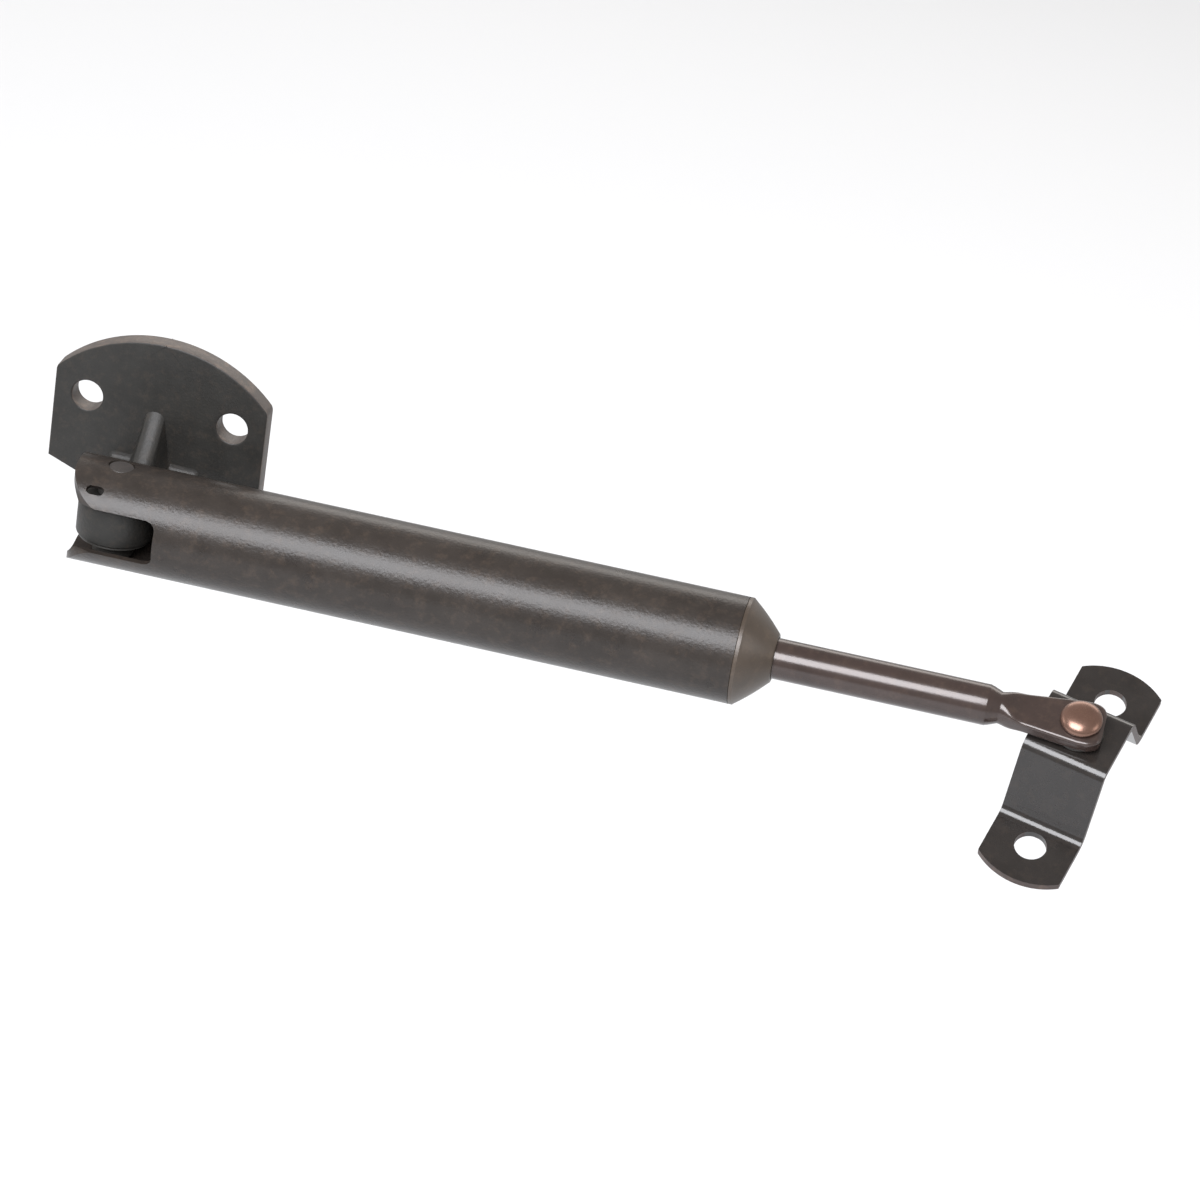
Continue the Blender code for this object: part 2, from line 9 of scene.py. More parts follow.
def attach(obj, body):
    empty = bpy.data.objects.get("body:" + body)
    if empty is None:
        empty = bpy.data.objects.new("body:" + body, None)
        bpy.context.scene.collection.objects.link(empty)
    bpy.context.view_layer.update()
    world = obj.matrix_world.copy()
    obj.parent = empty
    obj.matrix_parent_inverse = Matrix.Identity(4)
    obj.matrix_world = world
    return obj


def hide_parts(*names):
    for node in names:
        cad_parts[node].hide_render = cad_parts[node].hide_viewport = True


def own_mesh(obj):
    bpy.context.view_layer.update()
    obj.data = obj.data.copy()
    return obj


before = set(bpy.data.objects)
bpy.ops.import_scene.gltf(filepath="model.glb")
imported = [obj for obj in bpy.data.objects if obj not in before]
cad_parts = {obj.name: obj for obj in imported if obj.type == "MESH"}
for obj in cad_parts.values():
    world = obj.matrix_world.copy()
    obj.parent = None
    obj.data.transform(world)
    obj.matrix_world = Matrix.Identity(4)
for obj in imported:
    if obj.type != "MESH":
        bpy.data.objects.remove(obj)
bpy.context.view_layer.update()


# --- wall bracket -----------------------------------------------------------------------------------
# A drop forging in low-carbon steel, blacked: a D-shaped plate with two screw holes, a tongue with a
# rib above it that carries the hinge eye, and a small fillet where the tongue leaves the plate.
PLATE_THICK = 0.00635
PLATE_HALF_W = 0.0347
PLATE_CROWN = 0.0229        # top of the arch above the screw holes
PLATE_CORNER = 0.0078       # where arch and straight side would meet
PLATE_SHOULDER = -0.0234    # lower end of the straight sides
PLATE_FOOT = (0.0170, -0.0300)
PLATE_HOLE_X, PLATE_HOLE_R = 0.0238, 0.0050
EDGE_ROUND = 0.0006
PIN = np.array([-0.0018, -0.03635, -0.0225])
BOSS_R, BOSS_HALF, ROOT_HALF, NECK_HALF = 0.0122, 0.0062, 0.0150, 0.0108


def grid_faces(rows, columns, first, closed):
    """Corner numbers of every cell of a grid; a closed grid's last column joins its first."""
    row = np.arange(rows - 1)[:, None] * columns
    column = np.arange(columns if closed else columns - 1)[None, :]
    a, b = first + row + column, first + row + (column + 1) % columns
    return np.stack([a, b, b + columns, a + columns], axis=-1).reshape(-1, 4)


def build_piece(name, patches, body, nodes, finish, bevel=0.0, keep=None, smooth=32.0,
                cut_finish=None, cut=None):
    """One object out of several grids of points (rows, columns, 3). A grid given as (points, True)
    closes on itself, and one given as (points, mask) leaves out the masked cells. Points that grids
    share are merged, cells that fail the keep test are left out, the shell's faces are turned outwards,
    and a small bevel rounds edges sharper than the smooth angle. Faces that pass the cut test, which is
    given their middles and normals, take the cut finish."""
    points, faces, first = [], [], 0
    for patch in patches:
        grid, extra = patch if isinstance(patch, tuple) else (patch, False)
        cells = grid_faces(grid.shape[0], grid.shape[1], first, extra is True)
        faces.append(cells[~extra.ravel()] if isinstance(extra, np.ndarray) else cells)
        points.append(grid.reshape(-1, 3))
        first += grid.shape[0] * grid.shape[1]
    points, faces = np.concatenate(points), np.concatenate(faces)
    if keep is not None:
        faces = faces[keep(points[faces])]
    mesh = bpy.data.meshes.new(name)
    mesh.from_pydata(points.tolist(), [], faces.tolist())
    shell = bmesh.new()
    shell.from_mesh(mesh)
    bmesh.ops.remove_doubles(shell, verts=shell.verts, dist=2e-6)
    bmesh.ops.dissolve_degenerate(shell, edges=shell.edges, dist=1e-7)
    bmesh.ops.delete(shell, geom=[v for v in shell.verts if not v.link_faces], context="VERTS")
    bmesh.ops.recalc_face_normals(shell, faces=shell.faces)
    shell.to_mesh(mesh)
    shell.free()
    mesh.shade_smooth()
    mesh.set_sharp_from_angle(angle=math.radians(smooth))
    mesh.materials.append(finish)
    if cut is not None:
        middles, normals = np.zeros(len(mesh.polygons) * 3), np.zeros(len(mesh.polygons) * 3)
        mesh.polygons.foreach_get("center", middles)
        mesh.polygons.foreach_get("normal", normals)
        mesh.materials.append(cut_finish)
        is_cut = cut(middles.reshape(-1, 3), normals.reshape(-1, 3))
        mesh.polygons.foreach_set("material_index", is_cut.astype(int))
    piece = bpy.data.objects.new(name, mesh)
    bpy.context.scene.collection.objects.link(piece)
    if bevel:
        rounding = piece.modifiers.new("rounded_edges", "BEVEL")
        rounding.width, rounding.segments = bevel, 2
        rounding.limit_method, rounding.angle_limit = "ANGLE", math.radians(smooth)
        rounding.harden_normals = True
    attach(piece, body)
    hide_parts(*nodes)
    return piece


def arc(centre, radius, start, end, steps):
    """Points of an arc in a plane, its ends in degrees."""
    turn = np.radians(np.linspace(start, end, steps + 1))
    return np.stack([centre[0] + radius * np.cos(turn), centre[1] + radius * np.sin(turn)], axis=-1)


def evenly(outline, count):
    """count points at equal steps of length along a closed outline."""
    ends = np.concatenate([outline, outline[:1]])
    walked = np.concatenate([[0], np.cumsum(np.linalg.norm(np.diff(ends, axis=0), axis=1))])
    at = np.linspace(0, walked[-1], count, endpoint=False)
    return np.stack([np.interp(at, walked, ends[:, k]) for k in (0, 1)], axis=-1)


def blacked_steel(name, colour, roughness, metallic, mottle, grain, grain_size, rust=0.0, specular=0.5):
    """Oxide-coloured steel: colour and gloss drift in soft clouds, a fine grain roughens it, and where
    the film is thin a little brown shows through."""
    finish = bpy.data.materials.new(name)
    finish.use_nodes = True
    nodes, links = finish.node_tree.nodes, finish.node_tree.links
    shader = nodes["Principled BSDF"]
    shader.inputs["Metallic"].default_value = metallic
    shader.inputs["Specular IOR Level"].default_value = specular
    place = nodes.new("ShaderNodeTexCoord")
    clouds = nodes.new("ShaderNodeTexNoise")
    clouds.inputs["Scale"].default_value = 90.0
    clouds.inputs["Detail"].default_value = 6.0
    clouds.inputs["Roughness"].default_value = 0.62
    links.new(place.outputs["Object"], clouds.inputs["Vector"])
    tone = nodes.new("ShaderNodeValToRGB")
    tone.color_ramp.elements[0].position, tone.color_ramp.elements[1].position = 0.30, 0.72
    dark, light = np.array(colour) * (1 - mottle), np.array(colour) * (1 + mottle)
    tone.color_ramp.elements[0].color = (*dark, 1)
    tone.color_ramp.elements[1].color = (*light, 1)
    links.new(clouds.outputs["Fac"], tone.inputs["Fac"])
    worn = nodes.new("ShaderNodeTexNoise")
    worn.inputs["Scale"].default_value = 310.0
    worn.inputs["Detail"].default_value = 5.0
    worn.inputs["Roughness"].default_value = 0.7
    links.new(place.outputs["Object"], worn.inputs["Vector"])
    spots = nodes.new("ShaderNodeMapRange")
    spots.inputs["From Min"].default_value, spots.inputs["From Max"].default_value = 0.50, 0.82
    spots.inputs["To Max"].default_value = rust
    links.new(worn.outputs["Fac"], spots.inputs["Value"])
    blend = nodes.new("ShaderNodeMix")
    blend.data_type = "RGBA"
    blend.inputs["B"].default_value = (*(np.array(colour) * 1.2 + np.array([0.085, 0.055, 0.035])), 1)
    links.new(spots.outputs["Result"], blend.inputs["Factor"])
    links.new(tone.outputs["Color"], blend.inputs["A"])
    links.new(blend.outputs["Result"], shader.inputs["Base Color"])
    gloss = nodes.new("ShaderNodeMapRange")
    gloss.inputs["To Min"].default_value = roughness - 0.07
    gloss.inputs["To Max"].default_value = roughness + 0.09
    links.new(clouds.outputs["Fac"], gloss.inputs["Value"])
    links.new(gloss.outputs["Result"], shader.inputs["Roughness"])
    skin = nodes.new("ShaderNodeTexNoise")
    skin.inputs["Scale"].default_value = 1.0 / grain_size
    skin.inputs["Detail"].default_value = 4.0
    links.new(place.outputs["Object"], skin.inputs["Vector"])
    bump = nodes.new("ShaderNodeBump")
    bump.inputs["Strength"].default_value = 1.0
    bump.inputs["Distance"].default_value = grain
    links.new(skin.outputs["Fac"], bump.inputs["Height"])
    links.new(bump.outputs["Normal"], shader.inputs["Normal"])
    return finish


def plate_outline():
    """Right half of the D: up the middle line, round the arch, down the straight side and back along
    the sloping shoulder to the middle of the flat foot."""
    rise = PLATE_CROWN - PLATE_CORNER
    big = (PLATE_HALF_W ** 2 + rise ** 2) / (2 * rise)
    small = 0.0030
    big_z = PLATE_CROWN - big
    small_z = big_z + math.sqrt((big - small) ** 2 - (PLATE_HALF_W - small) ** 2)
    meet = math.degrees(math.atan2(small_z - big_z, PLATE_HALF_W - small))
    crown = arc((0.0, big_z), big, 90, meet, 60)
    corner = arc((PLATE_HALF_W - small, small_z), small, meet, 0, 12)[1:]
    low = np.array([[PLATE_HALF_W, PLATE_SHOULDER], PLATE_FOOT, [0.0, PLATE_FOOT[1]]])
    return np.concatenate([crown, corner, low])


def half_plate(side):
    """Polar grid round one screw hole. Each column walks from the back of the hole, up its wall, over its
    rounded edge, straight across the front to the outline's point in the same order, over the outer
    rounded edge and down to the back. On the middle line there is no edge to round."""
    outline = evenly(plate_outline(), 288)
    hub = np.array([PLATE_HOLE_X, 0.0])
    along = np.roll(outline, -1, 0) - np.roll(outline, 1, 0)
    inward = np.stack([along[:, 1], -along[:, 0]], -1)
    inward /= np.linalg.norm(inward, axis=1)[:, None]
    middle = outline[:, 0] < 1e-6
    inward[middle] = 0.0
    turn = np.arctan2(*(outline - hub).T[::-1])
    ray = np.stack([np.cos(turn), np.sin(turn)], -1)
    front, rows = -PLATE_THICK, []
    over = np.radians(np.linspace(0, 90, 5))
    hole = hub + ray * PLATE_HOLE_R
    rows += [(hole, 0.0), (hole, front / 2)]
    rows += [(hub + ray * (PLATE_HOLE_R + EDGE_ROUND * (1 - np.cos(a))),
              front + EDGE_ROUND * (1 - np.sin(a))) for a in over]
    rim, edge = hub + ray * (PLATE_HOLE_R + EDGE_ROUND), outline + inward * EDGE_ROUND
    rows += [(rim + (edge - rim) * t, front) for t in (0.04, 0.12, 0.3, 0.5, 0.7, 0.88, 0.96)]
    rows += [(outline + inward * EDGE_ROUND * (1 - np.sin(a)), front + EDGE_ROUND * (1 - np.cos(a)))
             for a in over]
    rows += [(outline, front / 2), (outline, -EDGE_ROUND * 0.7), (outline + inward * EDGE_ROUND * 0.7, 0.0)]
    rows += [(hole + (edge - hole) * t, 0.0) for t in (0.6, 0.0)]
    grid = np.zeros((len(rows), len(outline), 3))
    for i, (flat, depth) in enumerate(rows):
        grid[i, :, 0], grid[i, :, 2], grid[i, :, 1] = flat[:, 0] * side, flat[:, 1], depth
    return grid, True


def tongue_section(d):
    """Half-width, top and bottom of the tongue a distance d in front of the plate. The root's two fillets
    are quarter circles, and the sides run in from the root's width to the eye's."""
    upper, lower = 0.0026, 0.0026
    half_t = PLATE_THICK / 2
    top = half_t + upper - np.sqrt(np.maximum(upper ** 2 - np.clip(upper - d, 0, upper) ** 2, 0))
    bottom = -half_t - lower + np.sqrt(np.maximum(lower ** 2 - np.clip(lower - d, 0, lower) ** 2, 0))
    run = np.clip((d - 0.0040) / 0.0075, 0, 1)
    half_w = ROOT_HALF + (NECK_HALF - ROOT_HALF) * run * run * (3 - 2 * run)
    return half_w, PIN[2] + top, PIN[2] + bottom


def bracket_tongue():
    """Closed grid: for each distance from the plate, once round a rounded rectangle. The rib is added to
    its upper side as a ridge whose height falls from the plate to the eye and whose flanks are rounded."""
    d = np.concatenate([[-0.0010], np.linspace(0.0, 0.006, 30), np.linspace(0.0065, 0.0240, 36)])
    half_w, top, bottom = tongue_section(np.maximum(d, 0.0))
    centre = PIN[0] * np.clip(d / 0.0115, 0, 1)
    edge = 0.0012
    across = np.concatenate([np.linspace(-1, -0.32, 18), np.linspace(-0.3, 0.2, 52),
                             np.linspace(0.22, 1, 18)])
    x_top = centre[:, None] + across[None, :] * (half_w[:, None] - edge * 0.3)
    rib_x, rib_half, rib_round = -0.0012, 0.0033, 0.0030
    fall = np.clip(d / 0.0180, 0, 1)
    rib_top = PIN[2] + PLATE_THICK / 2 + 0.0190 * (1 - fall) ** 1.35
    off = np.abs(x_top - rib_x)
    shoulder = np.clip((off - (rib_half - rib_round)) / rib_round, 0, 1)
    ridge = (rib_top[:, None] - rib_round * (1 - np.sqrt(1 - shoulder ** 2))
             - np.clip(off - rib_half, 0, None) * 5)
    flat = np.broadcast_to(top[:, None], x_top.shape)
    side_drop = edge * (1 - np.sqrt(1 - np.clip((np.abs(across) - 0.90) / 0.10, 0, 1) ** 2))
    soft = 0.0030
    gap = np.clip(0.5 + 0.5 * (ridge - flat) / soft, 0, 1)
    z_top = flat + (ridge - flat) * gap + soft * gap * (1 - gap) - side_drop[None, :]
    under = np.linspace(1, -1, 24)
    x_low = centre[:, None] + under[None, :] * (half_w[:, None] - edge * 0.3)
    low_rise = edge * (1 - np.sqrt(1 - np.clip((np.abs(under) - 0.90) / 0.10, 0, 1) ** 2))
    z_low = bottom[:, None] + low_rise[None, :]
    x = np.concatenate([x_top, x_low], 1)
    z = np.concatenate([z_top, z_low], 1)
    y = np.broadcast_to(-(PLATE_THICK + d)[:, None], x.shape)
    ring = np.stack([x, y, z], -1)
    return ring, True


forging_black = blacked_steel("forging_black_oxide", (0.0145, 0.0138, 0.0125), 0.48, 0.0, 0.22,
                              0.00010, 0.0009, rust=0.16, specular=0.27)


def off_middle(corners):
    """True for cells that don't lie wholly in the plate's middle plane."""
    return (np.abs(corners[..., 0]) > 1e-6).any(axis=1)


# Faces turned away from the plate's front and back (its outer wall, the outer part of the rounded edges and
# the hole walls) take a lighter brown finish than the plate's faces.
lighter_edge = blacked_steel("plate_edge_lighter_brown", (0.060, 0.050, 0.044), 0.50, 0.1, 0.25, 0.00008, 0.0009,
                          rust=0.8)
build_piece("wall_plate_forging", [half_plate(1), half_plate(-1)], "bracket", ["mounting_bracket"],
            forging_black, keep=off_middle, cut_finish=lighter_edge,
            cut=lambda middles, normals: np.abs(normals[:, 1]) < 0.6)
build_piece("tongue_and_rib", [bracket_tongue()], "bracket", [], forging_black)


# --- hinge eye --------------------------------------------------------------------------------------
# The forging's round eye, faced on both sides and bored for a bronze bush. It turns on the pin between
# two thrust washers, and two spacer rings keep it in the middle of the tube.
BUSH_R, PIN_R, RUNNING_GAP = 0.0052, 0.00397, 0.0003
WASHER_LOW, WASHER_HIGH, WASHER_R = 0.0065, 0.0071, 0.0114
SPACER_LOW, SPACER_HIGH, SPACER_R = 0.0074, 0.0127, 0.0065


def axis_frame(origin, turn, twist=0.0, along=0.0, swing=0.0):
    """Matrix of an axis: turned about Z at the pin, twisted about X, moved along X, turned about Z."""
    return np.array(Matrix.Translation(origin) @ Matrix.Rotation(turn, 4, "Z")
                    @ Matrix.Rotation(twist, 4, "X") @ Matrix.Translation((along, 0, 0))
                    @ Matrix.Rotation(swing, 4, "Z"))


def placed(points, matrix):
    """Points of a grid taken from an axis to the part's frame."""
    return points @ matrix[:3, :3].T + matrix[:3, 3]


def turned_skin(profile, around=160, upright=False):
    """A lathe profile of (place, radius) points spun round X, or round Z when the piece stands upright."""
    profile = np.asarray(profile, float)
    turn = np.linspace(0, math.tau, around, endpoint=False)
    place = np.broadcast_to(profile[:, :1], (len(profile), around))
    a, b = profile[:, 1:] * np.cos(turn), profile[:, 1:] * np.sin(turn)
    return np.stack([a, b, place] if upright else [place, a, b], -1)


def lathe_ring(low, high, inner, outer, edge, steps=3):
    """Closed profile of a ring with rounded corners, as (place, radius) points."""
    corners = [((high - edge, outer - edge), 0), ((high - edge, inner + edge), 270),
               ((low + edge, inner + edge), 180), ((low + edge, outer - edge), 90)]
    round_parts = [arc(c, edge, s + 90, s, steps) for c, s in corners]
    loop = np.concatenate(round_parts)
    return np.concatenate([loop, loop[:1]])


PIN_AXIS = axis_frame(PIN, 0.0)
bare_steel = blacked_steel("bare_turned_steel", (0.42, 0.41, 0.39), 0.34, 0.95, 0.10, 0.000015, 0.0004,
                           rust=0.10)
washer_black = blacked_steel("washer_black_oxide", (0.040, 0.038, 0.035), 0.45, 0.2, 0.15, 0.00002, 0.0005)
oiled_bronze = blacked_steel("oiled_bush_bronze", (0.52, 0.35, 0.17), 0.36, 0.95, 0.12, 0.00002, 0.0005)
build_piece("hinge_eye", [(placed(turned_skin(lathe_ring(-BOSS_HALF, BOSS_HALF, BUSH_R + RUNNING_GAP, BOSS_R,
                                                         0.0006), 160, True), PIN_AXIS), True)],
            "bracket", ["knuckle_boss"], forging_black)
build_piece("eye_bush", [(placed(turned_skin(lathe_ring(-BOSS_HALF, BOSS_HALF, PIN_R + RUNNING_GAP, BUSH_R,
                                                        0.0002), 96, True), PIN_AXIS), True)],
            "bracket", ["knuckle_bush"], oiled_bronze)
for word, side in (("upper", 1), ("lower", -1)):
    washer_low, washer_high = sorted((side * WASHER_LOW, side * WASHER_HIGH))
    spacer_low, spacer_high = sorted((side * SPACER_LOW, side * SPACER_HIGH))
    build_piece(f"thrust_ring_{word}", [(placed(turned_skin(lathe_ring(
        washer_low, washer_high, PIN_R + RUNNING_GAP, WASHER_R, 0.00012), 128, True), PIN_AXIS), True)],
        "barrel", [f"thrust_washer_{word}"], washer_black)
    build_piece(f"spacer_ring_{word}", [(placed(turned_skin(lathe_ring(
        spacer_low, spacer_high, PIN_R + RUNNING_GAP, SPACER_R, 0.0003), 96, True), PIN_AXIS), True)],
        "barrel", [f"pin_spacer_{word}"], washer_black)


# --- barrel tube ------------------------------------------------------------------------------------
# Cold-drawn steel tube, phosphated black. One end is slotted right through into two rounded ears that
# take the pivot pin; an oblong oil port lies beside the pin on the upper ear.
TUBE_R, BORE_R = 0.0167, 0.0146
TUBE_END = 0.1980
EAR_TIP, EAR_FLAT, EAR_ROUND = -0.0132, 0.0040, 0.0110
SLOT_HALF, SLOT_END, SLOT_ROUND = 0.0075, 0.0160, 0.0030
BARREL_AXIS = axis_frame(PIN, math.radians(2.0))


def ear_start(y):
    """X where an ear begins at distance y from its middle: straight tip, then a round corner."""
    off = np.clip(np.abs(y) - EAR_FLAT, 0, EAR_ROUND)
    return EAR_TIP + EAR_ROUND - np.sqrt(EAR_ROUND ** 2 - off ** 2)


def slot_start(z):
    """X where the tube's full wall begins inside the slot, at height z: flat end, then a round corner."""
    off = np.clip(np.abs(z) - (SLOT_HALF - SLOT_ROUND), 0, SLOT_ROUND)
    return SLOT_END - SLOT_ROUND + np.sqrt(SLOT_ROUND ** 2 - off ** 2)


EAR_ROWS, NECK_ROWS = 34, 10
TUBE_ROWS = np.concatenate([np.linspace(0.0200, 0.0300, 8)[1:], np.linspace(0.0300, 0.1900, 33)[1:],
                            np.linspace(0.1900, TUBE_END, 10)[1:]])


def ear_points(radius, side):
    """(x, angle) grid of one ear and the tube behind it: rows run from the ear's end to the slot's root
    and on to the nose, columns run over the crown between the two slot faces."""
    low = math.asin(SLOT_HALF / radius)
    angle = np.linspace(low, math.pi - low, 73) * side
    begin = ear_start(radius * np.cos(angle))
    root = SLOT_END - SLOT_ROUND
    ear = begin + (root - begin) * np.linspace(0, 1, EAR_ROWS)[:, None]
    neck = root + (0.0200 - root) * np.linspace(0, 1, NECK_ROWS)[1:, None] + 0 * angle
    x = np.concatenate([ear, neck, TUBE_ROWS[:, None] + 0 * angle])
    return x, np.broadcast_to(angle, x.shape)


def cheek_points(radius, middle):
    """(x, angle) grid of the tube between the ears, beside the slot's round-cornered end."""
    reach = math.asin(SLOT_HALF / radius)
    angle = middle + np.linspace(-reach, reach, 33)
    begin = slot_start(radius * np.sin(angle))
    neck = begin + (0.0200 - begin) * np.linspace(0, 1, NECK_ROWS)[:, None]
    x = np.concatenate([neck, TUBE_ROWS[:, None] + 0 * angle])
    return x, np.broadcast_to(angle, x.shape)


def on_tube(x, angle, radius):
    """Point of the tube at x and at an angle from Y towards Z."""
    return np.stack([x, radius * np.cos(angle), radius * np.sin(angle)], -1)


def round_window(x, angle, rows, columns, radius, hole, rings=6):
    """Fills a window of a grid with rings that run from the window's border to a hole's edge. hole gives
    the (x, angle) of the edge for each border point's direction from the window's middle."""
    (r0, r1), (c0, c1) = rows, columns
    border = ([(r0, c) for c in range(c0, c1)] + [(r, c1) for r in range(r0, r1)]
              + [(r1, c) for c in range(c1, c0, -1)] + [(r, c0) for r in range(r1, r0, -1)])
    bx = np.array([x[i] for i in border])
    ba = np.array([angle[i] for i in border])
    hx, ha = hole(bx, ba, radius)
    t = np.linspace(0, 1, rings)[:, None] ** 1.3
    return on_tube(hx + (bx - hx) * t, ha + (ba - ha) * t, radius)


def pin_hole(bx, ba, radius):
    """Edge of the upright pin hole: a circle in plan, carried down onto the tube."""
    reach = PIN_R + 0.0001
    turn = np.arctan2(radius * np.cos(ba), bx)
    y = reach * np.sin(turn)
    side = np.sign(np.sin(ba))
    return reach * np.cos(turn), side * np.arccos(y / radius)


PORT_X, PORT_TURN, PORT_HALF, PORT_R = -0.0048, math.radians(90 + 43), 0.0013, 0.0015


def oil_port(bx, ba, radius):
    """Edge of the oblong port: a short slot with round ends, its length along the tube."""
    u, v = bx - PORT_X, (ba - PORT_TURN) * radius
    turn = np.arctan2(v, u)
    dx, dv = np.cos(turn), np.sin(turn)
    straight = np.abs(dx) * PORT_R < np.abs(dv) * PORT_HALF
    flat_reach = PORT_R / np.maximum(np.abs(dv), 1e-9)
    b = np.abs(dx) * PORT_HALF
    round_reach = b + np.sqrt(np.maximum(b ** 2 - PORT_HALF ** 2 + PORT_R ** 2, 0))
    reach = np.where(straight, flat_reach, round_reach)
    return PORT_X + reach * dx, PORT_TURN + reach * dv / radius


def strip(first, second):
    """A wall two points wide between two lines of equally many points."""
    return np.stack([first, second])


def ear_patches(side):
    """Outer and inner skin of one ear with the tube behind it, and the walls along the ear's end, the
    slot faces, the pin hole and, on the upper ear, the oil port."""
    x, angle = ear_points(TUBE_R, side)
    step = TUBE_R * abs(angle[0, 1] - angle[0, 0])
    holes = [(0.0, math.pi / 2 * side, 0.0062, 0.0062, pin_hole)]
    if side > 0:
        holes.append((PORT_X, PORT_TURN, 0.0042, 0.0028, oil_port))
    windows = []
    for at_x, at_angle, half_long, half_wide, hole in holes:
        column = int(np.argmin(np.abs(angle[0] - at_angle)))
        near = np.flatnonzero(np.abs(x[:EAR_ROWS + NECK_ROWS - 1, column] - at_x) < half_long)
        wide = int(round(half_wide / step))
        windows.append(((near[0], near[-1]), (column - wide, column + wide), hole))
    if side > 0:
        last = windows[0][1][1]
        rows, (begin, end), hole = windows[1]
        windows[1] = (rows, (max(begin, last), end), hole)
    patches, skins, edges = [], [], []
    for radius in (TUBE_R, BORE_R):
        x, angle = ear_points(radius, side)
        taken = np.zeros((x.shape[0] - 1, x.shape[1] - 1), bool)
        rims = []
        for (r0, r1), (c0, c1), hole in windows:
            taken[r0:r1, c0:c1] = True
            rings = round_window(x, angle, (r0, r1), (c0, c1), radius, hole)
            patches.append((rings, True))
            rims.append(rings[0])
        skins.append(on_tube(x, angle, radius))
        patches.append((skins[-1], taken))
        edges.append(rims)
    patches.append(strip(skins[0][0], skins[1][0]))
    patches += [strip(skins[0][:EAR_ROWS, c], skins[1][:EAR_ROWS, c]) for c in (0, -1)]
    patches += [(strip(outer, inner), True) for outer, inner in zip(*edges)]
    return patches


def cheek_patches(middle):
    """Outer and inner skin beside the slot's end, and the end's wall."""
    skins = [on_tube(*cheek_points(radius, middle), radius) for radius in (TUBE_R, BORE_R)]
    return skins + [strip(skins[0][0], skins[1][0])]


tube_patches = ear_patches(1) + ear_patches(-1) + cheek_patches(0.0) + cheek_patches(math.pi)
phosphated = blacked_steel("tube_black_phosphate", (0.022, 0.018, 0.0155), 0.29, 0.0, 0.24,
                           0.00008, 0.0010, rust=0.24, specular=0.25)
build_piece("slotted_tube", [(placed(p[0], BARREL_AXIS), p[1]) if isinstance(p, tuple)
                             else placed(p, BARREL_AXIS) for p in tube_patches],
            "barrel", ["barrel_tube"], phosphated, bevel=0.00022)


# --- pivot pin --------------------------------------------------------------------------------------
# Plain steel pin pressed through both ears, its faced ends level with the tube beside it.
PIN_HALF = 0.0162
pin_profile = [(-PIN_HALF, 0.0), (-PIN_HALF, 0.002), (-PIN_HALF, PIN_R - 0.0002), (0.0002 - PIN_HALF, PIN_R),
               (-0.01, PIN_R), (0.01, PIN_R), (PIN_HALF - 0.0002, PIN_R), (PIN_HALF, PIN_R - 0.0002),
               (PIN_HALF, 0.002), (PIN_HALF, 0.0)]
pin_black = blacked_steel("pin_end_black", (0.036, 0.032, 0.030), 0.42, 0.0, 0.14, 0.00004, 0.0005, rust=0.2)
build_piece("pivot_pin_turned", [(placed(turned_skin(pin_profile, 96, True), BARREL_AXIS), True)],
            "barrel", ["pivot_pin"], pin_black)


# --- nose cone --------------------------------------------------------------------------------------
# Turned cap that closes the tube round the rod: a spigot inside, a narrow land against the tube's end,
# a slightly full cone and a small flat lip round the rod's wiper.
LAND_START, LAND_END, CONE_END, LIP_R = 0.19802, 0.1992, 0.2092, 0.0075
ROD_R = 0.00635
SPIGOT_START, WIPER_SEAT, BUSH_SEAT_R = 0.1860, 0.2035, 0.0095


def cone_profile():
    """Radius falls in a line from the land to the lip, plus half a sine wave that makes it full."""
    t = np.linspace(0, 1, 22)
    place = LAND_END + (CONE_END - LAND_END) * t
    radius = TUBE_R + (LIP_R - TUBE_R) * t + 0.0004 * np.sin(math.pi * t)
    cone = np.stack([place, radius], -1)
    cone[0] += (0.00012, -0.00002)
    cone[-1] += (-0.00010, 0.00010)
    land = [(LAND_START, TUBE_R - 0.0024), (LAND_START, TUBE_R - 0.0002), (LAND_START + 0.0002, TUBE_R),
            (LAND_END - 0.0001, TUBE_R)]
    lip = [(CONE_END, LIP_R - 0.0001), (CONE_END, ROD_R + 0.00050), (CONE_END - 0.00015, ROD_R + 0.00035),
           (WIPER_SEAT, ROD_R + 0.00035), (WIPER_SEAT, BUSH_SEAT_R), (SPIGOT_START, BUSH_SEAT_R),
           (SPIGOT_START, BORE_R - 0.0006), (SPIGOT_START + 0.0003, BORE_R - 0.0003),
           (LAND_START, BORE_R - 0.0003), (LAND_START, TUBE_R - 0.0024)]
    return np.concatenate([land, cone, lip])


browned = blacked_steel("nose_browned_steel", (0.044, 0.032, 0.023), 0.36, 0.1, 0.14, 0.00003, 0.0005,
                        rust=0.25)
build_piece("nose_cone", [(placed(turned_skin(cone_profile(), 192), BARREL_AXIS), True)],
            "barrel", ["nose_cap"], browned)


# --- piston rod -------------------------------------------------------------------------------------
# Half-inch steel rod, bronzed and polished. It is turned down at a long chamfer, and beyond the neck it
# is forged flat into a tongue that widens to the rivet and ends in a rounded tip.
ROD_START, ROD_SHOULDER, RIVET_X, TONGUE_TIP = 0.1612, 0.2756, 0.3040, 0.3112
TONGUE_HALF_T, TONGUE_HALF_W = 0.0024, 0.0082
STUD_R, STUD_END = 0.0040, 0.1860
NECK_X, NECK_R = ROD_SHOULDER + 0.0036, 0.0049
ROD_AXIS = axis_frame(PIN, math.radians(2.0), math.radians(27.0))


